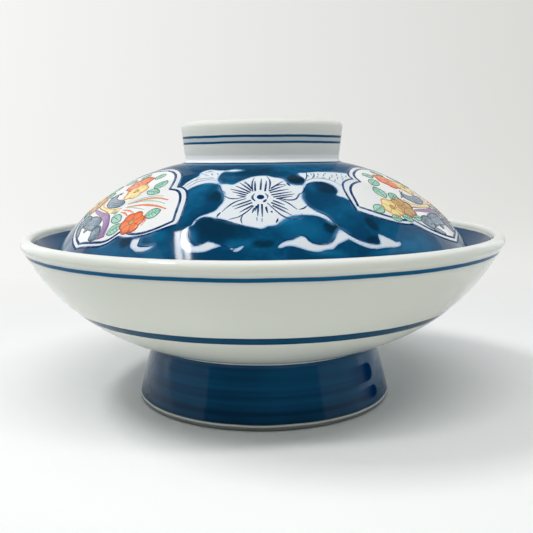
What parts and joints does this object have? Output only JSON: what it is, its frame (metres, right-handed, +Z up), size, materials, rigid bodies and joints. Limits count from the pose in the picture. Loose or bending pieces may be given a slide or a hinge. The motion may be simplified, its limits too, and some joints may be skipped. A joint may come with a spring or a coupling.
{
  "type": "lidded donburi bowl",
  "caption": "Porcelain rice bowl on a tall flared foot, with a painted domed lid that drops inside the rim and lifts off by a ring-shaped grip",
  "frame": {"origin": "centre of the foot's resting plane, on the axis the bowl is thrown about", "axes": "+Z up along the axis of revolution, -Y towards the viewer of the picture, +X to the viewer's right"},
  "size_m": [0.17, 0.17, 0.0986],
  "materials": {
    "bowl": "glossy white glaze with underglaze blue lines and a blue foot",
    "lid": "glossy glaze over underglaze blue with overglaze enamel panels"
  },
  "bodies": {
    "bowl": {"bowl": "bowl"},
    "lid": {"lid": "lid"}
  },
  "joints": [
    {"name": "lid_lift", "type": "slide", "parent": "bowl", "child": "lid", "axis": [0, 0, 1], "range_m": [0, 0.1]}
  ]
}
